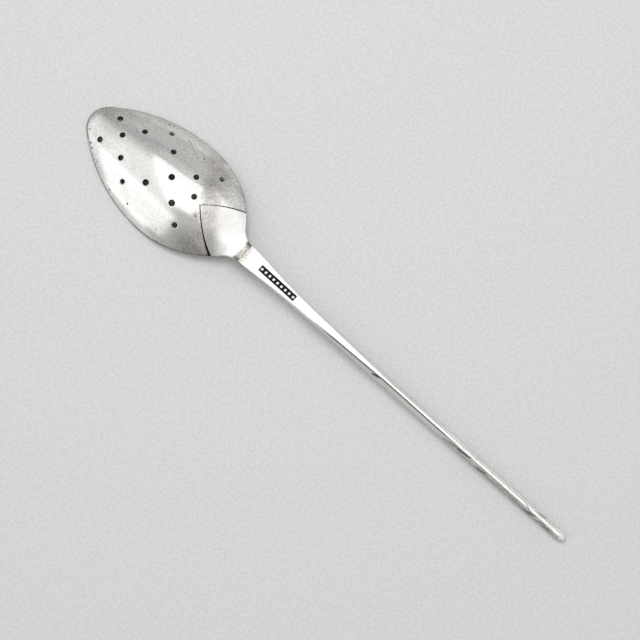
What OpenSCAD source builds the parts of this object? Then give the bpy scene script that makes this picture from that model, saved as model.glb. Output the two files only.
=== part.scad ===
// Mote spoon in silver, lying face down: a pierced bowl, a pointed heel lapped on the
// bowl's back, and a long facetted stem joined at the neck by a half lap.
// X runs from the bowl's tip to the stem's end, Z is up, and the table is at z = 0.

/* [Overall] */
// Length from the bowl's tip to the stem's end
overall_length = 140; // [115:1:170]

/* [Bowl] */
// Width of the bowl at its widest
bowl_width = 24.3; // [21.5:0.1:27]
// Height of the bowl's back above the table
bowl_height = 6.8; // [5:0.1:8.5]
// Thickness of the bowl's sheet
bowl_sheet = 0.7; // [0.5:0.05:1]
// Height of the bowl's upright rim edge
rim_edge = 0.4; // [0.3:0.05:0.6]
// Radius of the bowl's tip in plan
tip_radius = 4.7; // [3.5:0.1:6]
// Radius of the bowl's sides from the tip to the widest place
front_radius = 36.6; // [30:0.1:44]
// Radius of the bowl's sides from the widest place to the shoulders
back_radius = 22.6; // [19:0.1:26]
// Distance from the tip to where the rim starts to lift off the table
lift_start = 20; // [14:0.5:24]

/* [Neck] */
// Width of the neck
neck_width = 4.6; // [3.6:0.1:5.6]
// Radius of the hollow between the shoulders and the neck
neck_radius = 5; // [3.5:0.1:6.5]
// Height of the neck's underside above the table
neck_lift = 2.6; // [1.5:0.1:4]
// How far the neck is set off to one side
neck_sway = 0.9; // [0:0.1:1]
// Distance from the tip to where the shoulders start to lean to that side
sway_start = 36; // [33:0.5:39]
// Length of the bowl's tongue under the stem
tongue_length = 3.8; // [2.5:0.1:6]
// Thickness of the solder films
solder_film = 0.12; // [0.08:0.01:0.2]

/* [Straining holes] */
// Diameter of the fine holes
fine_hole = 1.2; // [0.9:0.05:1.5]
// Diameter of the wide holes
wide_hole = 1.45; // [1.1:0.05:1.7]

/* [Heel] */
// Length of the heel from its point to the neck
heel_length = 14.1; // [11:0.1:15]
// Half the angle of the heel's point
heel_half_angle = 46; // [40:0.5:52]
// Radius of the heel's curved sides
heel_radius = 31.5; // [24:0.5:40]
// Thickness of the heel along its seam
heel_edge = 0.25; // [0.15:0.05:0.6]
// Thickness of the heel at the neck
heel_root = 1.2; // [0.8:0.05:1.6]
// Length over which the heel swells before the neck
heel_swell = 8; // [5:0.5:10]
// Depth of the open seam round the heel, where solder is missing
heel_seam = 0.3; // [0.1:0.05:0.6]

/* [Stem] */
// Length of the flare from the neck
flare_length = 22; // [14:1:30]
// Width of the stem where its flare ends
shank_width = 2.68; // [2.4:0.02:3.4]
// Thickness of the stem where its flare ends
shank_thickness = 2.3; // [2.1:0.05:2.8]
// Width of the stem near its end
end_width = 1.95; // [1.6:0.05:2.2]
// Thickness of the stem near its end
end_thickness = 1.85; // [1.6:0.05:2.1]
// Length over which the stem's blunt point is rounded off
point_length = 1.6; // [0.8:0.1:3]
// Width that is left at the stem's very end
point_width = 0.7; // [0.4:0.05:1]
// Distance from the joint to where the corner facets start
facet_gap = 1; // [0.5:0.1:3]
// Distance from the neck to where the corner facets are at their widest
facet_run = 42; // [35:1:50]
// How far the corner facets cut into the stem there
facet_cut = 0.92; // [0.6:0.02:0.95]
// How far the corner facets cut into the stem near its end
end_facet_cut = 0.66; // [0.4:0.02:0.72]

/* [Sunk panel] */
// Distance from the neck to the panel
panel_start = 4.6; // [4.5:0.1:7]
// Length of the sunk panel on the stem's back
panel_length = 10.3; // [6:0.1:12]
// Width of the panel
panel_width = 1.5; // [1:0.05:1.8]
// Depth of the panel
panel_depth = 0.15; // [0.08:0.01:0.3]
// Number of plain pellets in the panel
pellet_count = 9; // [5:1:11]
// Diameter of each pellet
pellet_d = 0.72; // [0.4:0.02:0.8]

/* [Hidden] */

silver = [0.78, 0.77, 0.74];
solder = [0.55, 0.48, 0.38];

// Straining holes as drilled by hand: distance from the tip, offset to the side and whether wide
holes = [
    [5.5, 3.1, false], [5.4, -3.3, false], [8.6, 0.5, false], [11.8, 4.3, false], [11.9, -3.6, false],
    [16.3, 8.1, false], [15.7, -7.2, false], [19.7, 5, false], [19.9, -4.2, true], [23.4, 0.4, true],
    [27.3, 4.1, false], [27.3, -3.8, true], [30, 0.5, false], [31.4, 7.8, false], [30.9, -6.8, false]
];

// Steps in each curve of the outline
tip_steps = 9;
side_steps = 10;
neck_steps = 5;
flare_steps = 6;
point_steps = 4;

// Distances along the spoon are measured from the bowl's tip, and on the stem from the neck
tip_x = -overall_length / 2;
bowl_half = bowl_width / 2;
neck_half = neck_width / 2;

// Where the four arcs of the bowl's outline meet
widest_at = tip_radius
    + sqrt(pow(front_radius - tip_radius, 2) - pow(front_radius - bowl_half, 2));
tip_arc_end = tip_radius - tip_radius * (widest_at - tip_radius) / (front_radius - tip_radius);
neck_rise = neck_half + neck_radius + back_radius - bowl_half;
neck_at = widest_at + sqrt(pow(back_radius + neck_radius, 2) - pow(neck_rise, 2));
shoulder_end = widest_at + (neck_at - widest_at) * back_radius / (back_radius + neck_radius);
tongue_end = neck_at + tongue_length;
heel_at = neck_at - heel_length;
stem_length = overall_length - neck_at;
point_at = stem_length - point_length;

// The bowl's back is turned about an axis under the table, so that it meets the rim edge all round
axis_drop = (pow(bowl_half, 2) + pow(rim_edge, 2) - pow(bowl_height, 2)) / (2 * (bowl_height - rim_edge));

// Reach of cutting shapes beyond the part
room = 4;
tall = bowl_height + heel_root + room;

// Value between two ends, as far along as the share says
function between(from, to, share) = from + (to - from) * share;
function ease(share) = share * share * (3 - 2 * share);
function steps_between(from, to, count) = [for (i = [0:count - 1]) between(from, to, i / count)];

// Half the stem's width: a flare from the neck, then a long taper
function stem_half(s) =
    s < flare_length
    ? between(neck_half, shank_width / 2, 1 - pow(1 - s / flare_length, 2))
    : between(shank_width, end_width, (s - flare_length) / (point_at - flare_length)) / 2;

// Half the bowl's width, and half the stem's beyond the neck
function half_width(t) =
    t < tip_arc_end ? sqrt(max(0, pow(tip_radius, 2) - pow(t - tip_radius, 2)))
    : t < widest_at ? bowl_half - front_radius + sqrt(pow(front_radius, 2) - pow(t - widest_at, 2))
    : t < shoulder_end ? bowl_half - back_radius + sqrt(pow(back_radius, 2) - pow(t - widest_at, 2))
    : t < neck_at ? neck_half + neck_radius - sqrt(pow(neck_radius, 2) - pow(t - neck_at, 2))
    : stem_half(t - neck_at);

// Offset of the middle to the side: none at the bowl, full at the neck and flare, none at the stem's end
function stem_sway(s) = -neck_sway * (stem_length - max(s, flare_length)) / (stem_length - flare_length);
function sway(t) =
    t < neck_at
    ? -neck_sway * ease(max(0, t - sway_start) / (neck_at - sway_start))
    : stem_sway(t - neck_at);

// Height of the underside: on the table, lifting to the neck, then falling to the stem's point
function underside(t) =
    t < lift_start ? 0
    : t < neck_at ? neck_lift * ease((t - lift_start) / (neck_at - lift_start))
    : neck_lift * (1 - (t - neck_at) / point_at);

// Radius of the bowl's back about its axis, and the heel's thickness over it
function back_radius_at(t) = sqrt(pow(half_width(t), 2) + pow(axis_drop + underside(t) + rim_edge, 2));
function heel_thickness(t) =
    between(heel_edge, heel_root, ease(min(1, max(0, t - neck_at + heel_swell) / heel_swell)));

// Thickness of the stem, level with the heel's back at the neck
neck_thickness = back_radius_at(neck_at) - axis_drop + solder_film + heel_root - neck_lift;
function stem_thickness(s) =
    s < flare_length
    ? between(neck_thickness, shank_thickness, s / flare_length)
    : between(shank_thickness, end_thickness, (s - flare_length) / (point_at - flare_length));
function stem_middle(s) = underside(neck_at + s) + stem_thickness(s) / 2;
function stem_top(s) = underside(neck_at + s) + stem_thickness(s);

// How far the corner facets cut in, from nothing just past the joint
facet_from = tongue_length + solder_film + facet_gap;
function corner_cut(s) =
    s < facet_run
    ? facet_cut * (s - facet_from) / (facet_run - facet_from)
    : between(facet_cut, end_facet_cut, (s - facet_run) / (point_at - facet_run));

// Share of the stem's section that is left in its rounded point
point_share = point_width / end_width;
function point_left(s) = between(1, point_share, pow(max(0, s - point_at) / point_length, 2));

// Places along the spoon where its outline bends, finer where a curve is tighter
tip_turn = acos(1 - tip_arc_end / tip_radius);
bowl_places = concat(
    [for (i = [0:tip_steps - 1]) tip_radius * (1 - cos(tip_turn * i / tip_steps))],
    steps_between(tip_arc_end, widest_at, side_steps),
    steps_between(widest_at, shoulder_end, side_steps),
    steps_between(shoulder_end, neck_at, neck_steps),
    [neck_at, tongue_end]
);
flare_places = concat([0], steps_between(tongue_length, flare_length, flare_steps));
point_places = concat(steps_between(point_at, stem_length, point_steps), [stem_length]);

// Solid turned about the bowl's axis: the bowl's back moved out by an offset, or the heel's back over it
module turned(offset, with_heel = false) {
    last = tongue_end + room;
    profile = [for (t = concat(bowl_places, [last]))
        [back_radius_at(t) + offset + (with_heel ? heel_thickness(t) : 0), t]];
    translate([tip_x, 0, -axis_drop]) rotate([90, 0, 90])
        rotate_extrude($fn = 96) polygon(concat([[0, 0]], profile, [[0, last]]));
}

// Upright solid over the plan of the bowl and its tongue
module bowl_plan() {
    side = [for (t = bowl_places) [tip_x + t, sway(t) + half_width(t)]];
    other = [for (i = [len(side) - 1:-1:1]) [side[i].x, 2 * sway(bowl_places[i]) - side[i].y]];
    translate([0, 0, -room]) linear_extrude(tall + room) polygon(concat(side, other));
}

// Solid above the underside of the bowl and its tongue
module above_underside() {
    lift = [for (t = bowl_places) if (t > lift_start) [tip_x + t, underside(t)]];
    top = [[tip_x + tongue_end, tall], [tip_x - room, tall]];
    rotate([90, 0, 0]) linear_extrude(bowl_width + room, center = true)
        polygon(concat([[tip_x - room, 0], [tip_x + lift_start, 0]], lift, top));
}

// Slab across the spoon between two distances from the tip
module slab(from, to) {
    width = bowl_width + room;
    translate([tip_x + from, -width / 2, -room]) cube([to - from, width, tall + room]);
}

// Straining holes, each square to the axis of the bowl's back
module drilled() {
    for (hole = holes) {
        r = back_radius_at(hole[0]);
        translate([tip_x + hole[0], 0, -axis_drop]) rotate([-asin(hole[1] / r), 0, 0])
            translate([0, 0, r - room / 2])
                cylinder(d = hole[2] ? wide_hole : fine_hole, h = room, $fn = 24);
    }
}

// Upright solid over the heel's pointed plan, with its curved sides drawn in
module heel_plan(inset) {
    translate([tip_x + heel_at, 0, -room]) linear_extrude(tall + room)
        intersection_for (side = [-1, 1])
            translate(heel_radius * [sin(heel_half_angle), side * cos(heel_half_angle)])
                circle(r = heel_radius - inset, $fn = 180);
}

// Stem's outline in one view, turned about X: from its middle out to a reach, at places along it
module stem_view(turn, places, reach) {
    middle = function(s) stem_sway(s) * cos(turn) + stem_middle(s) * sin(turn);
    outline = [for (s = places) [tip_x + neck_at + s, middle(s), reach(s) * point_left(s)]];
    upper = [for (p = outline) [p.x, p.y + p.z]];
    lower = [for (i = [len(outline) - 1:-1:0]) [outline[i].x, outline[i].y - outline[i].z]];
    rotate([turn, 0, 0]) linear_extrude(2 * tall, center = true) polygon(concat(upper, lower));
}

// Stem before its joint and panel are cut: its plan, its side and its two pairs of corner facets
module stem_blank() {
    half_step = (flare_length - tongue_length) / flare_steps / 2;
    facet_places = concat([for (s = flare_places) s + half_step], [facet_run], point_places);
    facet_reach = function(s) (stem_half(s) + stem_thickness(s) / 2 - corner_cut(s)) / sqrt(2);
    intersection() {
        stem_view(0, concat(flare_places, [flare_length], point_places), function(s) stem_half(s));
        stem_view(90, concat([0, flare_length], point_places), function(s) stem_thickness(s) / 2);
        stem_view(45, concat([0], facet_places), facet_reach);
        stem_view(135, concat([0], facet_places), facet_reach);
    }
}

// Sunk panel along the stem's back, with plain pellets left standing in it
module panel() {
    fall = atan((stem_top(0) - stem_top(flare_length)) / flare_length);
    pitch = panel_length / pellet_count;
    corner = [tip_x + neck_at + panel_start, stem_sway(panel_start), stem_top(panel_start)];
    translate(corner) rotate([0, fall, 0]) difference() {
        translate([0, -panel_width / 2, -panel_depth]) cube([panel_length, panel_width, room]);
        for (i = [0:pellet_count - 1])
            translate([pitch * (i + 0.5), 0, -room / 2]) cylinder(d = pellet_d, h = 2 * room, $fn = 24);
    }
}

module bowl() {
    color(silver) difference() {
        intersection() {
            turned(0);
            bowl_plan();
            above_underside();
        }
        turned(-bowl_sheet);
        drilled();
    }
}

module heel() {
    color(silver) difference() {
        intersection() {
            turned(solder_film, true);
            bowl_plan();
            heel_plan(0);
            slab(0, neck_at);
        }
        turned(solder_film);
    }
}

module stem() {
    color(silver) difference() {
        stem_blank();
        slab(neck_at - room, neck_at + solder_film);
        intersection() {
            turned(solder_film);
            slab(neck_at, tongue_end + solder_film);
        }
        panel();
    }
}

// Solder in the lap between the heel and the bowl's back
module heel_solder() {
    color(solder) difference() {
        intersection() {
            turned(solder_film);
            bowl_plan();
            heel_plan(heel_seam);
            slab(0, neck_at);
        }
        turned(0);
    }
}

// Solder in the half lap between the stem, the heel's end and the bowl's tongue
module neck_solder() {
    color(solder) difference() {
        intersection() {
            stem_blank();
            union() {
                slab(neck_at, neck_at + solder_film);
                intersection() {
                    turned(solder_film);
                    slab(neck_at, tongue_end + solder_film);
                }
            }
        }
        intersection() {
            turned(0);
            slab(neck_at - room, tongue_end);
        }
    }
}

bowl();
heel();
stem();
heel_solder();
neck_solder();
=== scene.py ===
import functools
import math

import bpy
from mathutils import Matrix, Vector, noise


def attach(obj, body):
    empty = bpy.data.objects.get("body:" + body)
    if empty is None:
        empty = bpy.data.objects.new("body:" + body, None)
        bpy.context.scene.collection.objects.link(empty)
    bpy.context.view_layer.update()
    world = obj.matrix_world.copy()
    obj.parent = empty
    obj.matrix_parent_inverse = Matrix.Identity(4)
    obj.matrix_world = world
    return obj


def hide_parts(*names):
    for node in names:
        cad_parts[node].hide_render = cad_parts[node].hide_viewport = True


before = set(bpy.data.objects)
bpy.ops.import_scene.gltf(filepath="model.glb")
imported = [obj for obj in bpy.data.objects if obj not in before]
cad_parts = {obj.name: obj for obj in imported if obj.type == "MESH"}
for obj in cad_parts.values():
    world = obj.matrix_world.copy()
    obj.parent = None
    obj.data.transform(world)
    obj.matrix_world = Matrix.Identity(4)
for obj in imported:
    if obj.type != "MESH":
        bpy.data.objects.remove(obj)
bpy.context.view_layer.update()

# The spoon is drawn in millimetres and set down in metres
MM = 0.001

# Bowl, as in the construction
LENGTH = 140.0
BOWL_WIDTH = 24.3
BOWL_HEIGHT = 6.8
BOWL_SHEET = 0.7
RIM_EDGE = 0.4
TIP_RADIUS = 4.7
FRONT_RADIUS = 36.6
BACK_RADIUS = 22.6
LIFT_START = 20.0

# Neck and heel
NECK_WIDTH = 4.6
NECK_RADIUS = 5.0
NECK_LIFT = 2.6
NECK_SWAY = 0.9
SWAY_START = 36.0
TONGUE_LENGTH = 3.8
SOLDER_FILM = 0.12
HEEL_LENGTH = 14.1
HEEL_HALF_ANGLE = math.radians(46)
HEEL_RADIUS = 31.5
HEEL_EDGE = 0.25
HEEL_ROOT = 1.2
HEEL_SWELL = 8.0

# Stem
FLARE_LENGTH = 22.0
SHANK_WIDTH = 2.68
SHANK_THICKNESS = 2.3
END_WIDTH = 1.95
END_THICKNESS = 1.85
POINT_LENGTH = 1.6
POINT_WIDTH = 0.7
FACET_GAP = 1.0
FACET_RUN = 42.0
FACET_CUT = 0.92
END_FACET_CUT = 0.66
FACET_STEEPNESS = 1.1

# Sunk panel with plain pellets
PANEL_START = 4.6
PANEL_LENGTH = 10.3
PANEL_WIDTH = 1.5
PANEL_DEPTH = 0.15
PANEL_CORNER = 0.07
PELLETS = 9
PELLET_WIDTH = 0.72

# Straining holes: distance from the tip, offset to the side and diameter
FINE_HOLE = 1.2
WIDE_HOLE = 1.45
HOLES = [
    (5.5, 3.1, FINE_HOLE), (5.4, -3.3, FINE_HOLE), (8.6, 0.5, FINE_HOLE), (11.8, 4.3, FINE_HOLE),
    (11.9, -3.6, FINE_HOLE), (16.3, 8.1, FINE_HOLE), (15.7, -7.2, FINE_HOLE), (19.7, 5.0, FINE_HOLE),
    (19.9, -4.2, WIDE_HOLE), (23.4, 0.4, WIDE_HOLE), (27.3, 4.1, FINE_HOLE), (27.3, -3.8, WIDE_HOLE),
    (30.0, 0.5, FINE_HOLE), (31.4, 7.8, FINE_HOLE), (30.9, -6.8, FINE_HOLE),
]

# Holes drilled by hand: how far they are out of round, and how that changes from one to the next
OUT_OF_ROUND = 0.07
ROUNDNESS_STEP = 5.1

# Holes nearly closed: black in the ones by the tip, dirt and painted shade of the hollow beneath,
# and paler in the ones by the sides, dust and painted light
CLOSED_SHADED_HOLE = 0.15
CLOSED_SHADED_UP_TO = 9.0
DUSTY_LIT_HOLE = 0.5
DUSTY_LIT_FROM = 7.0

# Wear: how far edges are rounded off, and how far the hammered sheet waves
WORN_RIM = 0.14
WORN_HEEL = 0.12
WORN_FACET = 0.09
SHEET_WAVE = 0.012
SHEET_WAVE_LENGTH = 7.0
SHEET_WAVE_LAYER = 0.5

# Corner of the heel that has come up: where its seam starts to open, where it is open, and how wide
OPEN_FROM = 4.0
OPEN_TO = 7.0
OPEN_SEAM = 0.75

# Rows and columns of the skins, and the sides of the drills and pellets
TIP_ROWS = 26
BOWL_ROWS = 170
TONGUE_ROWS = 12
BACK_COLUMNS = 88
HOLLOW_COLUMNS = 64
HEEL_POINT = 1.0
HEEL_POINT_ROWS = 14
HEEL_ROWS = 96
HEEL_COLUMNS = 48
LAP_ROWS = 14
STEM_ROWS = 280
POINT_ROWS = 14
DRILL_SIDES = 28
PELLET_SIDES = 20
PELLET_RINGS = 12

# Rounding of worn corners: its steps, the largest share of a side that it takes, and the shortest side
ROUNDING_STEPS = 3
ROUNDING_SHARE = 0.46
SHORTEST_SIDE = 1e-6

# Edges are shaded smooth up to these angles, in degrees
BOWL_CREASE = 32
HEEL_CREASE = 40
STEM_CREASE = 30
PELLET_CREASE = 40

# Points of a skin closer than this become one, and the lap ends in a step of twice that length
SAME_POINT = 0.002
LAP_STEP = 2 * SAME_POINT

# Camera of the photograph
AZIMUTH = math.radians(42.75)
ELEVATION = math.radians(78)
DISTANCE = 4000.0
SENSOR_WIDTH = 36.0
IMAGE = 640
PIXELS_PER_MM = 4.586
ORIGIN_PIXEL = (327.4, 326.75)

# Where the arcs of the bowl's outline meet, measured from the bowl's tip
TIP_X = -LENGTH / 2
BOWL_HALF = BOWL_WIDTH / 2
NECK_HALF = NECK_WIDTH / 2
WIDEST_AT = TIP_RADIUS + math.sqrt((FRONT_RADIUS - TIP_RADIUS) ** 2 - (FRONT_RADIUS - BOWL_HALF) ** 2)
TIP_ARC_END = TIP_RADIUS - TIP_RADIUS * (WIDEST_AT - TIP_RADIUS) / (FRONT_RADIUS - TIP_RADIUS)
NECK_RISE = NECK_HALF + NECK_RADIUS + BACK_RADIUS - BOWL_HALF
NECK_AT = WIDEST_AT + math.sqrt((BACK_RADIUS + NECK_RADIUS) ** 2 - NECK_RISE ** 2)
SHOULDER_END = WIDEST_AT + (NECK_AT - WIDEST_AT) * BACK_RADIUS / (BACK_RADIUS + NECK_RADIUS)
TONGUE_END = NECK_AT + TONGUE_LENGTH
HEEL_AT = NECK_AT - HEEL_LENGTH
STEM_LENGTH = LENGTH - NECK_AT
POINT_AT = STEM_LENGTH - POINT_LENGTH
LAP_END = TONGUE_LENGTH + SOLDER_FILM

# Axis under the table about which the bowl's back is turned
AXIS_DROP = (BOWL_HALF ** 2 + RIM_EDGE ** 2 - BOWL_HEIGHT ** 2) / (2 * (BOWL_HEIGHT - RIM_EDGE))


# Shapes of the spoon, as in the construction

def between(start, end, share):
    return start + (end - start) * share


def ease(share):
    share = min(1.0, max(0.0, share))
    return share * share * (3 - 2 * share)


def stem_half(s):
    if s < FLARE_LENGTH:
        return between(NECK_HALF, SHANK_WIDTH / 2, 1 - (1 - s / FLARE_LENGTH) ** 2)
    return between(SHANK_WIDTH, END_WIDTH, (s - FLARE_LENGTH) / (POINT_AT - FLARE_LENGTH)) / 2


def half_width(t):
    if t < TIP_ARC_END:
        return math.sqrt(max(0.0, TIP_RADIUS ** 2 - (t - TIP_RADIUS) ** 2))
    if t < WIDEST_AT:
        return BOWL_HALF - FRONT_RADIUS + math.sqrt(FRONT_RADIUS ** 2 - (t - WIDEST_AT) ** 2)
    if t < SHOULDER_END:
        return BOWL_HALF - BACK_RADIUS + math.sqrt(BACK_RADIUS ** 2 - (t - WIDEST_AT) ** 2)
    if t < NECK_AT:
        return NECK_HALF + NECK_RADIUS - math.sqrt(NECK_RADIUS ** 2 - (t - NECK_AT) ** 2)
    return stem_half(t - NECK_AT)


def stem_sway(s):
    return -NECK_SWAY * (STEM_LENGTH - max(s, FLARE_LENGTH)) / (STEM_LENGTH - FLARE_LENGTH)


def sway(t):
    if t < NECK_AT:
        return -NECK_SWAY * ease((t - SWAY_START) / (NECK_AT - SWAY_START))
    return stem_sway(t - NECK_AT)


def underside(t):
    if t < NECK_AT:
        return NECK_LIFT * ease((t - LIFT_START) / (NECK_AT - LIFT_START))
    return NECK_LIFT * (1 - (t - NECK_AT) / POINT_AT)


def back_radius_at(t):
    return math.hypot(half_width(t), AXIS_DROP + underside(t) + RIM_EDGE)


def on_back(t, y):
    return Vector((TIP_X + t, y, math.sqrt(back_radius_at(t) ** 2 - y ** 2) - AXIS_DROP))


def heel_thickness(t):
    return between(HEEL_EDGE, HEEL_ROOT, ease((t - NECK_AT + HEEL_SWELL) / HEEL_SWELL))


NECK_THICKNESS = back_radius_at(NECK_AT) - AXIS_DROP + SOLDER_FILM + HEEL_ROOT - NECK_LIFT


def stem_thickness(s):
    if s < FLARE_LENGTH:
        return between(NECK_THICKNESS, SHANK_THICKNESS, s / FLARE_LENGTH)
    return between(SHANK_THICKNESS, END_THICKNESS, (s - FLARE_LENGTH) / (POINT_AT - FLARE_LENGTH))


def stem_top(s):
    return underside(NECK_AT + s) + stem_thickness(s)


# Slope of the stem's top over the flare, where the panel is struck
FLARE_FALL = (stem_top(0) - stem_top(FLARE_LENGTH)) / FLARE_LENGTH


def corner_cut(s):
    facet_from = LAP_END + FACET_GAP
    if s < FACET_RUN:
        return FACET_CUT * max(0.0, s - facet_from) / (FACET_RUN - facet_from)
    return between(FACET_CUT, END_FACET_CUT, (s - FACET_RUN) / (POINT_AT - FACET_RUN))


def point_left(s):
    return between(1, POINT_WIDTH / END_WIDTH, (max(0.0, s - POINT_AT) / POINT_LENGTH) ** 2)


# The open seam sets the edge back by its own reach, so that the reach settles over a few rounds
SETTLING_ROUNDS = 6


def heel_reach(t, side):
    along = t - HEEL_AT - HEEL_RADIUS * math.sin(HEEL_HALF_ANGLE)
    drop = HEEL_RADIUS * math.cos(HEEL_HALF_ANGLE)
    reach = 0.0
    for _ in range(SETTLING_ROUNDS):
        back = OPEN_SEAM * ease((reach - OPEN_FROM) / (OPEN_TO - OPEN_FROM)) if side < 0 else 0.0
        reach = math.sqrt(max(0.0, HEEL_RADIUS ** 2 - (along - back) ** 2)) - drop
    return max(0.0, min(reach, half_width(t) + side * sway(t)))


def wave(x, y):
    place = Vector((x / SHEET_WAVE_LENGTH, y / SHEET_WAVE_LENGTH, SHEET_WAVE_LAYER))
    return SHEET_WAVE * noise.noise(place)


def steps(start, end, count):
    return [between(start, end, i / count) for i in range(count)]


# Modelling by hand

def select_only(piece):
    bpy.ops.object.select_all(action="DESELECT")
    piece.select_set(True)
    bpy.context.view_layer.objects.active = piece


def edit(piece):
    select_only(piece)
    bpy.ops.object.mode_set(mode="EDIT")
    bpy.ops.mesh.select_all(action="SELECT")


def leave_edit():
    bpy.ops.object.mode_set(mode="OBJECT")


def cut_away(piece, tool):
    select_only(piece)
    cut = piece.modifiers.new("cut", "BOOLEAN")
    cut.operation = "DIFFERENCE"
    cut.solver = "EXACT"
    cut.object = tool
    bpy.ops.object.modifier_apply(modifier=cut.name)
    bpy.data.objects.remove(tool)


def join(pieces):
    select_only(pieces[0])
    for piece in pieces:
        piece.select_set(True)
    bpy.ops.object.join()
    return pieces[0]


def rounded(points, corners, radius):
    outline = []
    for i, corner in enumerate(points):
        if i not in corners:
            outline.append(corner)
            continue
        ends = []
        for other in (points[i - 1], points[(i + 1) % len(points)]):
            reach = max((other - corner).length, SHORTEST_SIDE)
            ends.append(corner.lerp(other, min(ROUNDING_SHARE, radius / reach)))
        for k in range(ROUNDING_STEPS + 1):
            share = k / ROUNDING_STEPS
            outline.append(ends[0].lerp(corner, share).lerp(corner.lerp(ends[1], share), share))
    return outline


def skin(name, rows, section):
    rings = [section(row) for row in rows]
    columns = len(rings[0])
    bpy.ops.object.select_all(action="DESELECT")
    bpy.ops.mesh.primitive_grid_add(x_subdivisions=columns, y_subdivisions=len(rows) - 1, size=1)
    piece = bpy.context.active_object
    piece.name = name
    for vertex in piece.data.vertices:
        column = round((vertex.co.x + 0.5) * columns) % columns
        row = round((vertex.co.y + 0.5) * (len(rows) - 1))
        vertex.co = rings[row][column] * MM
    edit(piece)
    bpy.ops.mesh.remove_doubles(threshold=SAME_POINT * MM)
    bpy.ops.mesh.fill_holes(sides=0)
    bpy.ops.mesh.normals_make_consistent(inside=False)
    leave_edit()
    return piece


def smooth(piece, crease):
    select_only(piece)
    bpy.ops.object.shade_smooth_by_angle(angle=math.radians(crease))


def belongs(piece, slot, finish, *nodes):
    piece.data.materials.clear()
    piece.data.materials.append(finish)
    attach(piece, "root")
    if nodes:
        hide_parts(*nodes)


# Bowl: a dished sheet with an upright rim, drilled with straining holes

def arc(radius, reach_from, reach_to, x, count):
    turn_from = math.asin(reach_from / radius)
    turn_to = math.asin(reach_to / radius)
    points = []
    for i in range(count + 1):
        turn = between(turn_from, turn_to, i / count)
        y = radius * math.sin(turn)
        points.append(Vector((x, y, radius * math.cos(turn) - AXIS_DROP + wave(x, y))))
    return points


def bowl_section(t):
    x = TIP_X + t
    outside = back_radius_at(t)
    inside = outside - BOWL_SHEET
    right = sway(t) + half_width(t)
    left = sway(t) - half_width(t)
    land = underside(t)
    hollow = math.sqrt(max(0.0, inside ** 2 - (AXIS_DROP + land) ** 2))
    back = arc(outside, right, left, x, BACK_COLUMNS)
    front = arc(inside, max(left, -hollow), min(right, hollow), x, HOLLOW_COLUMNS)
    for point in front:
        point.z = max(point.z, land)
    front[0].z = land
    front[-1].z = land
    left_foot = Vector((x, left, land))
    right_foot = Vector((x, right, land))
    outline = back + [left_foot] + front + [right_foot]
    hollow_at = BACK_COLUMNS + 2
    corners = [0, BACK_COLUMNS, BACK_COLUMNS + 1, hollow_at, hollow_at + HOLLOW_COLUMNS, len(outline) - 1]
    return rounded(outline, corners, WORN_RIM)


def straining_drill(t, y, width, index):
    radius = back_radius_at(t)
    lean = math.asin(y / radius)
    inner = width / 2
    # narrowed holes stand as dark plugs by the tip and paler ones by the sides: dirt and painted shade,
    # dust and painted light
    if t < CLOSED_SHADED_UP_TO:
        inner *= CLOSED_SHADED_HOLE
    elif abs(y) > DUSTY_LIT_FROM:
        inner *= DUSTY_LIT_HOLE
    size = {"radius1": inner * MM, "radius2": (width - inner) * MM, "depth": 4 * BOWL_SHEET * MM}
    bpy.ops.object.select_all(action="DESELECT")
    bpy.ops.mesh.primitive_cone_add(vertices=DRILL_SIDES, **size)
    drill = bpy.context.active_object
    stretch = 1 + OUT_OF_ROUND * math.sin(ROUNDNESS_STEP * index)
    shape = Matrix.Rotation(index, 4, "Z") @ Matrix.Diagonal((stretch, 1 / stretch, 1, 1))
    place = Matrix.Translation(Vector((TIP_X + t, 0, -AXIS_DROP)) * MM) @ Matrix.Rotation(-lean, 4, "X")
    drill.data.transform(place @ Matrix.Translation((0, 0, radius * MM)) @ shape)
    return drill


def make_bowl():
    tip_turn = math.acos(1 - TIP_ARC_END / TIP_RADIUS)
    rows = [TIP_RADIUS * (1 - math.cos(turn)) for turn in steps(0, tip_turn, TIP_ROWS)]
    rows += steps(TIP_ARC_END, NECK_AT, BOWL_ROWS) + steps(NECK_AT, TONGUE_END, TONGUE_ROWS) + [TONGUE_END]
    bowl = skin("spoon_bowl", rows, bowl_section)
    drills = [straining_drill(*hole, index) for index, hole in enumerate(HOLES)]
    cut_away(bowl, join(drills))
    smooth(bowl, BOWL_CREASE)
    return bowl


# Heel: a pointed plate lapped over the bowl's back

def heel_section(t):
    x = TIP_X + t
    low = back_radius_at(t) + SOLDER_FILM
    left = heel_reach(t, -1)
    right = heel_reach(t, 1)
    top = arc(low + heel_thickness(t), right, -left, x, HEEL_COLUMNS)
    bottom = arc(low, -left, right, x, HEEL_COLUMNS)
    return rounded(top + bottom, [0, HEEL_COLUMNS], WORN_HEEL)


def make_heel():
    point_end = HEEL_AT + HEEL_POINT
    rows = steps(HEEL_AT, point_end, HEEL_POINT_ROWS) + steps(point_end, NECK_AT, HEEL_ROWS) + [NECK_AT]
    heel = skin("spoon_heel", rows, heel_section)
    smooth(heel, HEEL_CREASE)
    return heel


# Stem: a rod with its corners filed off, lapped on the bowl's tongue

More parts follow.
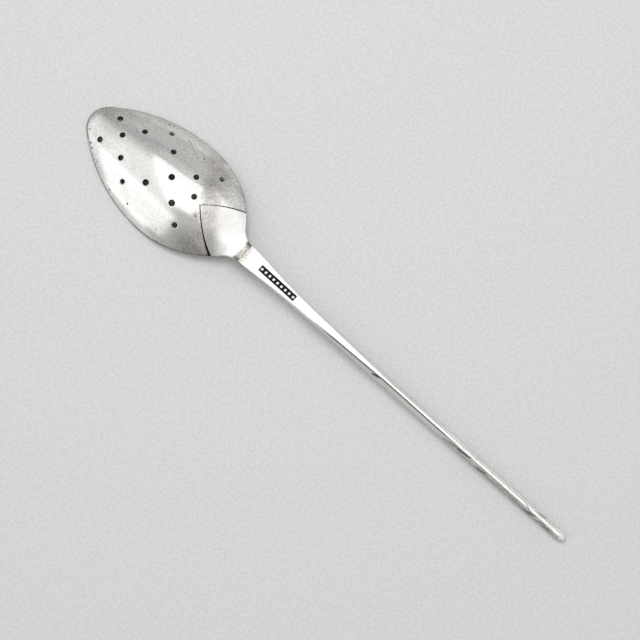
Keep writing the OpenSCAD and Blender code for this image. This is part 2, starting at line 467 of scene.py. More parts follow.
def stem_section(s):
    x = TIP_X + NECK_AT + s
    middle = underside(NECK_AT + s) + stem_thickness(s) / 2
    wide = stem_half(s) * point_left(s)
    tall = stem_thickness(s) / 2 * point_left(s)
    cut = corner_cut(s) * point_left(s)
    side = tall - cut * FACET_STEEPNESS
    key = [(wide, side), (wide - cut, tall), (cut - wide, tall), (-wide, side),
           (-wide, -side), (cut - wide, -tall), (wide - cut, -tall), (wide, -side)]
    corners = rounded([Vector((x, y, z)) for y, z in key], range(len(key)), WORN_FACET)
    outline = []
    for i, corner in enumerate(corners):
        outline.append(corner)
        if i % (ROUNDING_STEPS + 1) == ROUNDING_STEPS:
            after = corners[(i + 1) % len(corners)]
            outline += [corner.lerp(after, share) for share in (0.25, 0.5, 0.75)]
    lap = back_radius_at(NECK_AT + s) + SOLDER_FILM
    for point in outline:
        point.y += stem_sway(s)
        point.z += middle
        if s < LAP_END:
            point.z = max(point.z, math.sqrt(lap ** 2 - point.y ** 2) - AXIS_DROP)
    return outline


def panel_place(along, up):
    start = Vector((TIP_X + NECK_AT + PANEL_START, stem_sway(PANEL_START), stem_top(PANEL_START)))
    lean = Matrix.Rotation(math.atan(FLARE_FALL), 4, "Y")
    return Matrix.Translation(start * MM) @ lean @ Matrix.Translation(Vector((along, 0, up)) * MM)


def panel_punch():
    bpy.ops.object.select_all(action="DESELECT")
    bpy.ops.mesh.primitive_cube_add(size=1)
    punch = bpy.context.active_object
    punch.data.transform(Matrix.Diagonal((PANEL_LENGTH * MM, PANEL_WIDTH * MM, 4 * PANEL_DEPTH * MM, 1)))
    edit(punch)
    bpy.ops.mesh.bevel(offset=PANEL_CORNER * MM, segments=2, affect="EDGES")
    leave_edit()
    punch.data.transform(panel_place(PANEL_LENGTH / 2, PANEL_DEPTH))
    return punch


def make_stem():
    lap_end = LAP_END - LAP_STEP
    rows = steps(SOLDER_FILM, lap_end, LAP_ROWS) + [lap_end] + steps(LAP_END, POINT_AT, STEM_ROWS)
    rows += steps(POINT_AT, STEM_LENGTH, POINT_ROWS) + [STEM_LENGTH]
    stem = skin("spoon_stem", rows, stem_section)
    cut_away(stem, panel_punch())
    smooth(stem, STEM_CREASE)
    return stem


def make_pellet():
    radius = PELLET_WIDTH / 2
    bpy.ops.object.select_all(action="DESELECT")
    bpy.ops.mesh.primitive_uv_sphere_add(segments=PELLET_SIDES, ring_count=PELLET_RINGS, radius=radius * MM)
    pellet = bpy.context.active_object
    edit(pellet)
    half = {"plane_co": (0, 0, 0), "plane_no": (0, 0, 1), "clear_inner": True, "use_fill": True}
    bpy.ops.mesh.bisect(threshold=1e-7, **half)
    bpy.ops.mesh.normals_make_consistent(inside=False)
    leave_edit()
    pellet.data.transform(Matrix.Diagonal((1, 1, PANEL_DEPTH / radius, 1)))
    return pellet


def make_pellets():
    pellets = []
    for i in range(PELLETS):
        pellet = make_pellet()
        pellet.data.transform(panel_place(PANEL_LENGTH / PELLETS * (i + 0.5), -PANEL_DEPTH))
        pellets.append(pellet)
    row = join(pellets)
    row.name = "panel_pellets"
    smooth(row, PELLET_CREASE)
    return row


# Shader maths

class Wire:
    def __init__(self, tree, socket):
        self.tree = tree
        self.socket = socket

    def node(self, kind, settings, values, output=0):
        made = self.tree.nodes.new("ShaderNode" + kind)
        for name, value in settings.items():
            setattr(made, name, value)
        for name, value in values.items():
            if isinstance(value, Wire):
                self.tree.links.new(value.socket, made.inputs[name])
            else:
                made.inputs[name].default_value = value
        return Wire(self.tree, made.outputs[output])

    def math(self, operation, *values):
        return self.node("Math", {"operation": operation}, dict(enumerate(values)))

    def __add__(self, other):
        return self.math("ADD", self, other)

    __radd__ = __add__

    def __sub__(self, other):
        return self.math("SUBTRACT", self, other)

    def __rsub__(self, other):
        return self.math("SUBTRACT", other, self)

    def __mul__(self, other):
        return self.math("MULTIPLY", self, other)

    __rmul__ = __mul__

    def __truediv__(self, other):
        return self.math("DIVIDE", self, other)

    def __abs__(self):
        return self.math("ABSOLUTE", self)

    def least(self, other):
        return self.math("MINIMUM", self, other)

    def most(self, other):
        return self.math("MAXIMUM", self, other)

    def rise(self, start, end):
        values = {"Value": self, "From Min": start, "From Max": end}
        return self.node("MapRange", {"interpolation_type": "SMOOTHSTEP"}, values)

    def climb(self, start, end):
        return self.node("MapRange", {}, {"Value": self, "From Min": start, "From Max": end})

    def axis(self, name):
        return self.node("SeparateXYZ", {}, {0: self}, name)

    def times(self, scale):
        return self.node("VectorMath", {"operation": "SCALE"}, {0: self, "Scale": scale})

    def away(self, centre):
        return self.node("VectorMath", {"operation": "DISTANCE"}, {0: self, 1: centre}, "Value")

    def facing(self, direction):
        return self.node("VectorMath", {"operation": "DOT_PRODUCT"}, {0: self, 1: direction}, "Value")

    def facing_up(self, start, end):
        outward = Wire(self.tree, self.tree.nodes.new("ShaderNodeTexCoord").outputs["Normal"])
        return outward.axis("Z").rise(start, end)

    def off_line(self, start, end):
        along = (end - start).normalized()
        reach = (end - start).length
        from_start = self.node("VectorMath", {"operation": "SUBTRACT"}, {0: self, 1: start})
        passed = from_start.facing(along).most(0).least(reach)
        step = from_start.node("VectorMath", {"operation": "SCALE"}, {0: along, "Scale": passed})
        return from_start.away(step)

    def grain(self, scale, detail, seed):
        values = {"Vector": self, "Scale": scale, "Detail": detail, "W": seed}
        return self.node("TexNoise", {"noise_dimensions": "4D"}, values)

    def stretched(self, turn, scale):
        return self.node("Mapping", {}, {"Vector": self, "Rotation": turn, "Scale": scale})

    def mixed(self, first, second):
        return self.node("Mix", {"data_type": "RGBA"}, {0: self, 6: first, 7: second}, 2)

    def bump(self):
        return self.node("Bump", {}, {"Height": self * MM, "Distance": 1.0, "Strength": 1.0})

    def feeds(self, shader, socket):
        self.tree.links.new(self.socket, shader.inputs[socket])


def nearest(gaps):
    return functools.reduce(Wire.least, gaps)


def strongest(marks):
    return functools.reduce(Wire.most, marks)


def new_finish(name):
    finish = bpy.data.materials.new(name)
    finish.use_nodes = True
    tree = finish.node_tree
    here = Wire(tree, tree.nodes.new("ShaderNodeTexCoord").outputs["Object"]).times(1 / MM)
    return finish, tree.nodes["Principled BSDF"], here


# Silver, its wear, and the light and shade painted on it

BRIGHT_SILVER = (0.94, 0.935, 0.92, 1)
DULL_SILVER = (0.70, 0.685, 0.655, 1)
TARNISH_AND_SHADE = (0.34, 0.295, 0.245, 1)
BLACKENED = (0.009, 0.008, 0.007, 1)

# Fine scratches in two directions: turn, and stretch along and across
SCRATCHED_ONE_WAY = ((0, 0, 0.9), (0.8, 13, 13))
SCRATCHED_OTHER_WAY = ((0, 0, -0.5), (0.7, 12, 12))


def silver(name, tarnish_and_shade=None, black=None, relief=None, painted_highlight=None, flecks=None, polish=0.1, mottled=1.0):
    finish, shader, here = new_finish(name)
    cloud = here.grain(scale=0.2, detail=3.0, seed=1.0).rise(0.38, 0.66)
    mottle = here.grain(scale=1.6, detail=6.0, seed=2.0).rise(0.34, 0.68)
    speck = here.grain(scale=3.4, detail=2.0, seed=2.5).rise(0.62, 0.74)
    grit = here.grain(scale=4.6, detail=3.0, seed=2.7).rise(0.42, 0.62)
    one_way = here.stretched(*SCRATCHED_ONE_WAY).grain(scale=1.0, detail=1.0, seed=3.0).rise(0.62, 0.75)
    other_way = here.stretched(*SCRATCHED_OTHER_WAY).grain(scale=1.0, detail=1.0, seed=4.0).rise(0.64, 0.76)
    scratch = one_way.most(other_way)

    dulled = (cloud * 0.2 + mottle * 0.35 + speck * 0.45 + grit * 0.4 + scratch * 0.2) * mottled
    if flecks:
        dulled = dulled + flecks(here) * (grit * 0.6 - 0.22)
    colour = dulled.least(1.0).mixed(BRIGHT_SILVER, DULL_SILVER)
    roughness = polish + cloud * 0.03 + mottle * 0.05 + scratch * 0.05
    height = cloud * 0.002 + mottle * 0.0012 - scratch * 0.0008 - speck * 0.001 - grit * 0.0005
    bare = []
    # tarnish, with painted shade and painted reflections in it
    if tarnish_and_shade:
        stain_and_shade = tarnish_and_shade(here) * (0.65 + grit * 0.7)
        colour = stain_and_shade.mixed(colour, TARNISH_AND_SHADE)
        roughness = roughness + stain_and_shade * 0.15
    # black: dirt, and painted shade
    if black:
        dirt_and_shade = black(here)
        colour = dirt_and_shade.mixed(colour, BLACKENED)
        roughness = roughness + dirt_and_shade * 0.4
        bare.append(1 - dirt_and_shade)
    # painted highlights are made partly matt, so that they show pale
    if painted_highlight:
        bare.append(1 - painted_highlight(here))
    if relief:
        height = height + relief(here)

    colour.feeds(shader, "Base Color")
    roughness.feeds(shader, "Roughness")
    height.bump().feeds(shader, "Normal")
    shader.inputs["Metallic"].default_value = 1.0
    if bare:
        functools.reduce(Wire.__mul__, bare).feeds(shader, "Metallic")
    shader.inputs["Specular IOR Level"].default_value = 0.1
    return finish


def from_tip(here):
    return here.axis("X") - TIP_X


def from_neck(here):
    return here.axis("X") - (TIP_X + NECK_AT)


def above_rim(here):
    return here.axis("Z") - from_tip(here).rise(LIFT_START, NECK_AT) * NECK_LIFT


def not_under(here):
    return here.facing_up(-0.7, -0.3)


def inside_heel(here):
    level = here.node("VectorMath", {"operation": "MULTIPLY"}, {0: here, 1: (1, 1, 0)})
    along = TIP_X + HEEL_AT + HEEL_RADIUS * math.sin(HEEL_HALF_ANGLE)
    aside = HEEL_RADIUS * math.cos(HEEL_HALF_ANGLE)
    return HEEL_RADIUS - level.away((along, aside, 0)).most(level.away((along, -aside, 0)))


# Wear of the bowl, and the painted shade along its rim and in its holes

# Tarnished patches: place from the tip, to the side and up, the reach at which they start to fade and
# are gone, and how much of them is even, cloudy and in spots
BOWL_STAINS = {
    "near shoulder": ((38.0, -6.8, 3.8), (2.0, 7.0), (0.1, 0.18, 0.3)),
    "far shoulder": ((34.5, 6.5, 4.4), (1.5, 5.0), (0.05, 0.0, 0.2)),
    "blotch by the far holes": ((31.2, 5.0, 5.0), (0.6, 3.4), (0.175, 0.325, 0.0)),
    "by the heel's point": ((33.2, 2.2, 6.3), (1.0, 3.4), (0.21, 0.39, 0.0)),
    "smudge by the seam": ((33.3, -2.2, 6.3), (0.7, 1.9), (0.4, 0.25, 0.0)),
    "far side": ((29.5, 10.6, 2.3), (1.5, 6.0), (0.245, 0.455, 0.0)),
    "near side": ((29.5, -10.8, 2.2), (1.0, 3.5), (0.14, 0.26, 0.0)),
}

# Knocks and pits: distance from the tip, offset to the side and size
PITS = [
    (4.2, -5.0, 0.4), (5.2, -5.7, 0.34), (2.0, -2.9, 0.34), (8.1, -7.2, 0.3), (14.4, -10.0, 0.4),
    (19.7, -9.9, 0.4), (14.3, 9.5, 0.4), (15.2, 9.9, 0.34), (25.5, 8.6, 0.44), (33.1, -2.4, 0.3),
    (34.1, -1.6, 0.3),
]
PIT_EDGE = (-0.06, 0.14)
PIT_DEPTH = 0.03

# A long scratch, from one end to the other
SCRATCH = ((20.0, 9.6), (24.5, 7.7))
SCRATCH_EDGE = (0.05, 0.22)

# Black round the holes' edges, dirt and painted shade of the hollow beneath, further out at the fine ones,
# and less of it over the ones by the sides, dust and painted light
HOLE_DIRT_AND_SHADE = (-0.04, 0.1)
FINE_HOLE_DIRT_AND_SHADE = (0.0, 0.16)
HOLE_DUST_AND_LIGHT = (0.1, 0.2)
HOLE_EDGE_WORN = (0.0, 0.3)
HOLE_EDGE_DEPTH = 0.012

# Black line along the heel's seam: its edge, how much it widens over a distance from the point, and how far
# under the heel it goes
SEAM_EDGE = (-0.24, -0.1)
SEAM_WIDENS_BY = 0.14
SEAM_WIDENS_OVER = 7.0
SEAM_UNDER_HEEL = (0.9, 1.3)

# The rim is painted black up to its edge and darker a little higher, as painted contact shadow, and the far
# side is tarnished up to several millimetres
RIM_BLACK = (RIM_EDGE, RIM_EDGE + 0.3)
RIM_PAINTED_SHADE = (RIM_EDGE - 0.1, RIM_EDGE + 0.5)
FAR_RIM_TARNISH = (0.6, 3.4)
FAR_RIM_FROM = (0.0, 3.0)
RIM_SHADOW_ENDS_BY_NECK = (NECK_AT - 2, NECK_AT)

# Flecked parts of the back: beyond the middle, up to a distance from the tip, and from a distance on
FLECKED_FAR_SIDE = (-2.0, 3.0)
FLECKED_BY_TIP = (6.0, 13.0)
FLECKED_BY_NECK = (31.0, 36.0)


def stained(here, place, reach):
    t, y, z = place
    return 1 - here.away((TIP_X + t, y, z)).rise(*reach)


def nearest_hole(here, holes=HOLES):
    return nearest([here.away(on_back(t, y)) - width / 2 for t, y, width in holes])


def pits(here):
    gaps = [here.away(on_back(t, y)) - size / 2 for t, y, size in PITS]
    return 1 - nearest(gaps).rise(*PIT_EDGE)


def long_scratch(here):
    start, end = SCRATCH
    return 1 - here.off_line(on_back(*start), on_back(*end)).rise(*SCRATCH_EDGE)


def bowl_tarnish_and_shade(here):
    cloudy = here.grain(scale=0.5, detail=5.0, seed=7.0).rise(0.3, 0.64)
    spots = here.grain(scale=1.1, detail=5.0, seed=6.0).rise(0.36, 0.62)
    stains = []
    for place, reach, (even, in_clouds, in_spots) in BOWL_STAINS.values():
        stains.append(stained(here, place, reach) * (even + cloudy * in_clouds + spots * in_spots))
    far_rim = (1 - above_rim(here).rise(*FAR_RIM_TARNISH)) * here.axis("Y").rise(*FAR_RIM_FROM)
    # painted contact shade a little above the rim's edge, in the tarnish colour
    rim = (1 - above_rim(here).rise(*RIM_PAINTED_SHADE)) * not_under(here)
    hollow = 1 - here.facing_up(-0.3, 0.05)
    stains += [far_rim * (0.25 + cloudy * 0.25), rim * (0.45 + cloudy * 0.4)]
    stains += [long_scratch(here) * 0.6, hollow * 0.25]
    return strongest(stains)


def seam_line(here):
    inside = inside_heel(here)
    widened = from_tip(here).rise(HEEL_AT, HEEL_AT + SEAM_WIDENS_OVER) * SEAM_WIDENS_BY
    line = (inside + widened).rise(*SEAM_EDGE) * (1 - inside.rise(*SEAM_UNDER_HEEL))
    return line * here.facing_up(0.0, 0.2)


def bowl_black(here):
    cloudy = here.grain(scale=0.8, detail=3.0, seed=8.0).rise(0.35, 0.6)
    fine_holes = [hole for hole in HOLES if hole[2] == FINE_HOLE]
    dusty_lit_holes = [hole for hole in HOLES if abs(hole[1]) > DUSTY_LIT_FROM]
    # black round the holes: dirt and painted shade of the hollow beneath, less by the sides as painted
    # light
    dirt_and_shade = 1 - nearest_hole(here).rise(*HOLE_DIRT_AND_SHADE)
    fine_dirt_and_shade = 1 - nearest_hole(here, fine_holes).rise(*FINE_HOLE_DIRT_AND_SHADE)
    dust_and_light = 1 - nearest_hole(here, dusty_lit_holes).rise(*HOLE_DUST_AND_LIGHT)
    holes = dirt_and_shade.most(fine_dirt_and_shade) * (1 - dust_and_light * 0.35)
    # painted contact shadow, black along the rim's edge
    rim = (1 - above_rim(here).rise(*RIM_BLACK)) * (0.35 + cloudy * 0.4)
    rim = rim * (1 - from_tip(here).rise(*RIM_SHADOW_ENDS_BY_NECK)) * not_under(here)
    return strongest([holes, seam_line(here), pits(here) * 0.85, rim])


def bowl_flecks(here):
    far_side = here.axis("Y").rise(*FLECKED_FAR_SIDE)
    by_tip = 1 - from_tip(here).rise(*FLECKED_BY_TIP)
    by_neck = from_tip(here).rise(*FLECKED_BY_NECK)
    return strongest([far_side, by_tip, by_neck]) * here.facing_up(-0.2, 0.1)


def bowl_relief(here):
    worn_edge = nearest_hole(here).rise(*HOLE_EDGE_WORN) * HOLE_EDGE_DEPTH
    return worn_edge - pits(here) * PIT_DEPTH


# Wear of the heel, and its painted highlight and shade

# The heel turns from dull to bright along a slanting direction, between two distances from the middle:
# painted shade on the dull half, a painted highlight on the bright half
SHEEN_DIRECTION = (0.7343, 0.6788, 0.0)
HEEL_BRIGHTENS = (-25.6, -22.6)

# Stain on the heel's point: place and reach, as on the bowl
HEEL_POINT_STAIN = ((35.4, -0.8, 6.3), (1.0, 4.4))

# Painted dark reflection across the neck's crease, in the tarnish colour: where it starts and ends, how
# ragged it is, and its black ends
BAND_STARTS = (-1.8, -0.8)
BAND_ENDS = (0.4, 1.5)
BAND_RAGGED = 3.0
BAND_BLACK_FROM = (1.1, 2.2)
HEEL_BLACK_EDGE = (0.0, 0.12)


def painted_highlight_side(here):
    return here.facing(SHEEN_DIRECTION).rise(*HEEL_BRIGHTENS)


# painted dark reflection across the neck's crease
def neck_crease_reflection(here):
    ragged = (here.grain(scale=0.9, detail=4.0, seed=15.0) - 0.5) * BAND_RAGGED
    along = from_neck(here) + ragged
    return along.rise(*BAND_STARTS) * (1 - along.rise(*BAND_ENDS))


def heel_tarnish_and_shade(here):
    cloudy = here.grain(scale=0.45, detail=5.0, seed=9.0).rise(0.3, 0.65)
    # the dull half is painted shade
    painted_shade_side = 1 - painted_highlight_side(here)
    point = stained(here, *HEEL_POINT_STAIN) * painted_shade_side
    shade_and_stain = (painted_shade_side * (0.3 + cloudy * 0.24)).most(point * (0.45 + cloudy * 0.2))
    return shade_and_stain.most(neck_crease_reflection(here) * (0.45 + cloudy * 0.4))


# painted highlight: the bright half is made partly matt so that it shows pale
def heel_painted_highlight(here):
    return painted_highlight_side(here) * 0.5


def heel_black(here):
    ends = abs(here.axis("Y") + NECK_SWAY).rise(*BAND_BLACK_FROM) * here.facing_up(0.0, 0.4)
    edge = 1 - inside_heel(here).rise(*HEEL_BLACK_EDGE)
    # black ends of the neck's painted reflection
    return (edge * 0.7).most(neck_crease_reflection(here) * ends * 0.8)


# Wear of the stem, and its painted shade, reflections and highlights

# Shade of the hammer's dents along the near facet, painted as dark marks: distance from the neck, half
# length, distance from the edge of the top, lean towards that edge and darkness
HAMMER_DENT_SHADE = [
    (39.4, 1.5, 0.25, 0.2, 0.9), (61.5, 3.0, 0.45, 0.1, 0.6), (65.0, 2.4, 0.25, 0.1, 0.85),
    (70.0, 2.2, 0.6, 0.15, 0.75), (76.0, 3.5, 0.35, 0.02, 0.4), (80.5, 3.0, 0.65, 0.02, 0.5),
    (84.0, 2.2, 0.5, 0.15, 0.8), (87.5, 1.6, 0.4, 0.2, 0.6), (90.5, 1.4, 0.55, 0.2, 0.5),
]
DENT_HALF_WIDTH = 0.24

# Shade of fine nicks near the stem's end, painted as dark marks, given in the same way
NICK_SHADE = [
    (62.5, 2.0, 0.3, 0.1, 0.8), (70.2, 1.7, 0.5, 0.05, 0.8), (83.5, 1.5, -0.15, -0.35, 0.7),
    (86.5, 1.7, -0.97, 0.08, 0.8), (88.8, 1.6, 0.55, 0.15, 0.8),
]
NICK_HALF_WIDTH = 0.12

# Half width of the flat top, at the flare's end and where the facets are full
TOP_EDGE_AT_FLARE = 0.92
TOP_EDGE = 0.32

# Distances from the neck over which the wear of the stem's far half, and its painted highlights and shade,
# come up
STREAKS_FROM = (52.0, 78.0)
FACET_HIGHLIGHT_FROM = (54.0, 64.0)
LINE_FADES = (57.0, 66.0)
FILED_FROM = (56.0, 66.0)
FAR_EDGE_DARKENS = (62.0, 70.0)
NEAR_EDGE_DARKENS = (56.0, 66.0)
LINE_FROM = (FLARE_LENGTH - 2, FLARE_LENGTH + 5)
SIDES_FROM = (FLARE_LENGTH - 4, FLARE_LENGTH)
MARKS_END = (POINT_AT - 2, POINT_AT)
POINT_HIGHLIGHT_FROM = (POINT_AT, POINT_AT + 0.6)

# Painted dark reflection along the edge of the top, painted shade on the edges of the sides, and the
# painted highlight on the far facet
LINE_WIDTH = (0.09, 0.19)
SIDE_EDGE = (-0.2, -0.06)
HIGHLIGHT_STARTS = (0.4, 0.55)
HIGHLIGHT_ENDS = (0.8, 0.95)

# File marks and streaks are grains drawn out along the stem: turn, and stretch along and across
FILE_MARKS = ((0, 0, 0.03), (0.22, 4.5, 4.5))
STREAKS = ((0, 0, 0), (0.2, 5, 5))

# The panel's black: the depths where it starts and ends, and the softness of its ends and sides
PANEL_BLACK_FROM = (0.04, 0.1)
PANEL_BLACK_TO = (PANEL_DEPTH + 0.1, PANEL_DEPTH + 0.3)
PANEL_END_SOFT = 0.1
PANEL_SIDE_SOFT = 0.08


def off_middle(here):
    return here.axis("Y") + NECK_SWAY - from_neck(here).climb(FLARE_LENGTH, STEM_LENGTH) * NECK_SWAY


def past_edge(here):
    narrowed = from_neck(here).climb(FLARE_LENGTH, FACET_RUN) * (TOP_EDGE_AT_FLARE - TOP_EDGE)
    return narrowed - off_middle(here) - TOP_EDGE_AT_FLARE


# edges of the sides, where painted shade goes
def side_edge(here, side):
    along = from_neck(here)
    narrowed = along.climb(FLARE_LENGTH, POINT_AT) * (SHANK_WIDTH - END_WIDTH) / 2
    outermost = (off_middle(here) * side + narrowed - SHANK_WIDTH / 2).rise(*SIDE_EDGE)
    return outermost * along.rise(*SIDES_FROM)


# dark marks painted as the shade of dents and nicks
def shaded_dents(here, places, half_wide):
    along = from_neck(here)
    past = past_edge(here)
    dent_shade = []
    for place, reach, off_edge, lean, depth in places:
        off = along - place
        across = (past + off * lean - off_edge) / half_wide
        share = off / reach
        dent_shade.append((1 - (share * share + across * across).rise(0.55, 1.0)) * depth)
    return strongest(dent_shade)


def stem_tarnish_and_shade(here):
    cloudy = here.grain(scale=0.6, detail=5.0, seed=11.0).rise(0.35, 0.65)
    near_facet = past_edge(here).rise(-0.05, 0.15)
    streaks = here.stretched(*STREAKS).grain(scale=1.0, detail=3.0, seed=13.0).rise(0.4, 0.62)
    worn_end = from_neck(here).rise(*STREAKS_FROM) * (0.06 + near_facet * streaks * 0.6)
    # the neck's painted reflection, and wear streaks towards the end
    return (neck_crease_reflection(here) * (0.3 + cloudy * 0.4)).most(worn_end)


# painted highlight: the far facet and the point are made partly matt so that they show pale
def stem_painted_highlight(here):
    aside = off_middle(here)
    far_facet = aside.rise(*HIGHLIGHT_STARTS) * (1 - aside.rise(*HIGHLIGHT_ENDS))
    facet_highlight = far_facet * from_neck(here).rise(*FACET_HIGHLIGHT_FROM) * 0.8
    point_highlight = from_neck(here).rise(*POINT_HIGHLIGHT_FROM) * here.facing_up(-0.3, 0.2)
    return facet_highlight.most(point_highlight * 0.9)


def panel_black(here):
    panel_to = PANEL_START + PANEL_LENGTH
    along = from_neck(here)
    depth = stem_top(0) - along * FLARE_FALL - here.axis("Z")
    sunk = depth.rise(*PANEL_BLACK_FROM) * (1 - depth.rise(*PANEL_BLACK_TO))
    start = along.rise(PANEL_START - PANEL_END_SOFT, PANEL_START)
    end = 1 - along.rise(panel_to, panel_to + PANEL_END_SOFT)
    across = 1 - abs(here.axis("Y") + NECK_SWAY).rise(PANEL_WIDTH / 2, PANEL_WIDTH / 2 + PANEL_SIDE_SOFT)
    return sunk * start * end * across


def stem_black(here):
    along = from_neck(here)
    past = past_edge(here)
    # painted dark reflection along the edge of the top
    line = (1 - abs(past).rise(*LINE_WIDTH)) * along.rise(*LINE_FROM)
    line = line * (0.9 - along.rise(*LINE_FADES) * 0.6)
    filed = here.stretched(*FILE_MARKS).grain(scale=1.0, detail=2.0, seed=14.0).rise(0.52, 0.6)
    filed = filed * along.rise(*FILED_FROM) * (0.2 + past.rise(0.0, 0.1) * 0.4)
    # painted shade on the edges of the sides
    far_edge = side_edge(here, 1) * (0.2 + along.rise(*FAR_EDGE_DARKENS) * 0.3)
    near_edge = side_edge(here, -1) * (0.2 + along.rise(*NEAR_EDGE_DARKENS) * 0.4)
    # painted shade of the dents and nicks
    dent_shade = shaded_dents(here, HAMMER_DENT_SHADE, DENT_HALF_WIDTH)
    nick_shade = shaded_dents(here, NICK_SHADE, NICK_HALF_WIDTH)
    marks = strongest([line, dent_shade, nick_shade, far_edge, near_edge, filed])
    marks = marks * (1 - along.rise(*MARKS_END)) * here.facing_up(-0.3, 0.0)
    return panel_black(here).most(marks)


# Old solder in the joints, black where it shows in the open seam

SOLDER_DARK = (0.34, 0.3, 0.25, 1)
SOLDER_BRIGHT = (0.62, 0.57, 0.5, 1)
SOLDER_GRAIN = 0.02
SOLDER_BLACK_UP_TO = (1.2, 1.8)


def solder_metal():
    finish, shader, here = new_finish("old_solder")
    grit = here.grain(scale=0.9, detail=3.0, seed=5.0)
    colour = grit.rise(0.35, 0.7).mixed(SOLDER_DARK, SOLDER_BRIGHT)
    open_seam = 1 - inside_heel(here).rise(*SOLDER_BLACK_UP_TO)
    open_seam.mixed(colour, BLACKENED).feeds(shader, "Base Color")
    (0.35 + grit * 0.3).feeds(shader, "Roughness")
    (grit * SOLDER_GRAIN).bump().feeds(shader, "Normal")
    shader.inputs["Metallic"].default_value = 1.0
    return finish


# Studio: a pale table, a room with windows and pale walls, and a soft key

TABLE_SIZE = 4.0
TABLE_PALE = (0.575, 0.575, 0.575, 1)
TABLE_PALER = (0.635, 0.635, 0.635, 1)
PORE_DEPTH = 0.16


def make_floor():
    bpy.ops.object.select_all(action="DESELECT")
    bpy.ops.mesh.primitive_plane_add(size=TABLE_SIZE)
    floor = bpy.context.active_object
    floor.name = "floor"
    finish, shader, here = new_finish("pale_table")
    pores = here.grain(scale=1.5, detail=2.0, seed=6000.0)
    pores.rise(0.3, 0.7).mixed(TABLE_PALE, TABLE_PALER).feeds(shader, "Base Color")
    (pores * PORE_DEPTH).bump().feeds(shader, "Normal")
    shader.inputs["Roughness"].default_value = 0.6
    shader.inputs["Specular IOR Level"].default_value = 0.2
    floor.data.materials.append(finish)


# Patches of light and dark round the room, as on a map of the sky with the zenith in its middle
# and the horizon at 1: centre, half size, turn in degrees, softness of the edge and strength
ROOM_LEVEL = 0.56
ROOM_PATCHES = {
    "window overhead": ((-0.05, 0.055), (0.22, 0.15), 112, 0.014, 0.66),
    "skylight by the stem": ((0.17, 0.17), (0.1, 0.27), 0, 0.05, 0.5),
    "glow above the window": ((-0.15, 0.335), (0.13, 0.05), 0, 0.06, 0.17),
    "side window": ((-0.27, -0.58), (0.27, 0.27), 0, 0.05, 0.57),
    "side window, lower sash": ((-0.36, -0.95), (0.16, 0.15), 0, 0.05, 0.6),
    "pale wall by the tip": ((-0.26, -0.12), (0.21, 0.26), 0, 0.1, 0.42),
    "pale wall by the stem": ((0.28, 0.6), (0.13, 0.3), 0, 0.08, 0.25),
    "pale corner by the tip": ((-0.52, -0.35), (0.12, 0.32), 0, 0.1, 0.22),
    "dark corner by the stem": ((0.28, -0.8), (0.24, 0.4), 0, 0.18, -0.23),
    "dark corner by the tip": ((-0.42, 0.33), (0.24, 0.08), 20, 0.08, -0.12),
    "dark doorway": ((0.0, 0.72), (0.03, 0.36), 0, 0.05, -0.14),
}
LOWEST_MAPPED = -0.9


def light_the_room():
    world = bpy.data.worlds.new("room")
    world.use_nodes = True
    tree = world.node_tree
    direction = Wire(tree, tree.nodes.new("ShaderNodeTexCoord").outputs["Generated"])
    outward = 1 + direction.axis("Z").most(LOWEST_MAPPED)
    across = direction.axis("X") / outward
    upward = direction.axis("Y") / outward
    level = ROOM_LEVEL
    for centre, half, degrees, soft, strength in ROOM_PATCHES.values():
        turn = math.radians(degrees)
        right = across - centre[0]
        up = upward - centre[1]
        along = right * math.cos(turn) + up * math.sin(turn)
        aside = up * math.cos(turn) - right * math.sin(turn)
        inside = 1 - abs(along).rise(half[0] - soft, half[0] + soft)
        inside = inside * (1 - abs(aside).rise(half[1] - soft, half[1] + soft))
        level = inside * strength + level
    level.feeds(tree.nodes["Background"], "Color")
    bpy.context.scene.world = world


# Soft key above the table beyond the bowl's tip: place and size in metres, and watts
KEY_PLACE = Vector((-0.1, 0.075, 0.34))
KEY_SIZE = 0.2
KEY_WATTS = 0.455


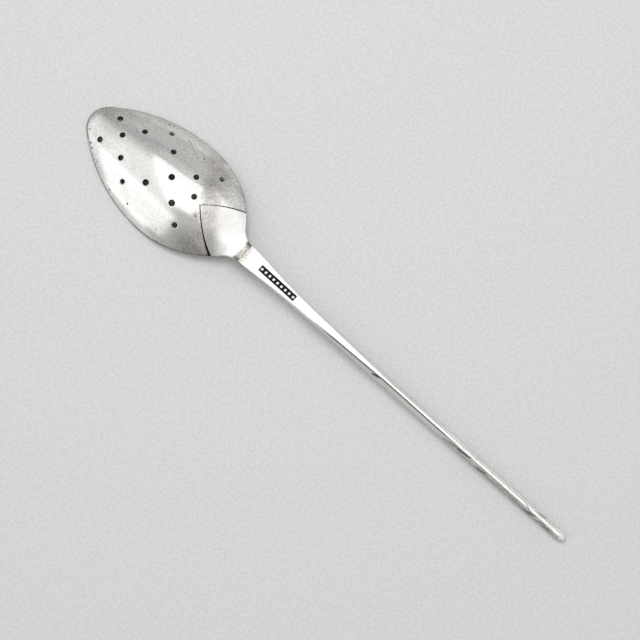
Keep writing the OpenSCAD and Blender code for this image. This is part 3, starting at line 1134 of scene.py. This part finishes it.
def set_soft_key():
    bpy.ops.object.light_add(type="AREA", location=KEY_PLACE)
    lamp = bpy.context.active_object
    lamp.name = "soft_key"
    lamp.rotation_euler = (-KEY_PLACE).to_track_quat("-Z", "Y").to_euler()
    lamp.data.size = KEY_SIZE
    lamp.data.energy = KEY_WATTS
    lamp.visible_glossy = False


def look_down_on_the_spoon():
    level = math.cos(ELEVATION)
    back = Vector((math.sin(AZIMUTH) * level, -math.cos(AZIMUTH) * level, math.sin(ELEVATION)))
    right = Vector((math.cos(AZIMUTH), math.sin(AZIMUTH), 0))
    up = back.cross(right)
    across = (IMAGE / 2 - ORIGIN_PIXEL[0]) / PIXELS_PER_MM
    upward = (ORIGIN_PIXEL[1] - IMAGE / 2) / PIXELS_PER_MM
    target = right * across + up * upward
    data = bpy.data.cameras.new("camera")
    data.sensor_width = SENSOR_WIDTH
    data.lens = SENSOR_WIDTH * DISTANCE * PIXELS_PER_MM / IMAGE
    camera = bpy.data.objects.new("camera", data)
    camera.location = (target + back * DISTANCE) * MM
    camera.rotation_euler = (-back).to_track_quat("-Z", "Y").to_euler()
    bpy.context.scene.collection.objects.link(camera)
    bpy.context.scene.camera = camera


# The spoon is put together
bowl_silver = silver("bowl_silver", bowl_tarnish_and_shade, bowl_black, relief=bowl_relief, flecks=bowl_flecks)
belongs(make_bowl(), "bowl_silver", bowl_silver, "bowl")
heel_silver = silver("heel_silver", heel_tarnish_and_shade, heel_black, painted_highlight=heel_painted_highlight, polish=0.2, mottled=0.5)
belongs(make_heel(), "heel_silver", heel_silver, "heel")
stem_silver = silver("stem_silver", stem_tarnish_and_shade, stem_black, painted_highlight=stem_painted_highlight)
belongs(make_stem(), "stem_silver", stem_silver, "stem")
belongs(make_pellets(), "stem_silver", silver("pellet_silver"))
solder = solder_metal()
for node in ("heel_solder", "neck_solder"):
    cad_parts[node].data.materials.clear()
    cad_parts[node].data.materials.append(solder)

make_floor()
light_the_room()
set_soft_key()
look_down_on_the_spoon()
bpy.context.scene.view_settings.view_transform = "Standard"
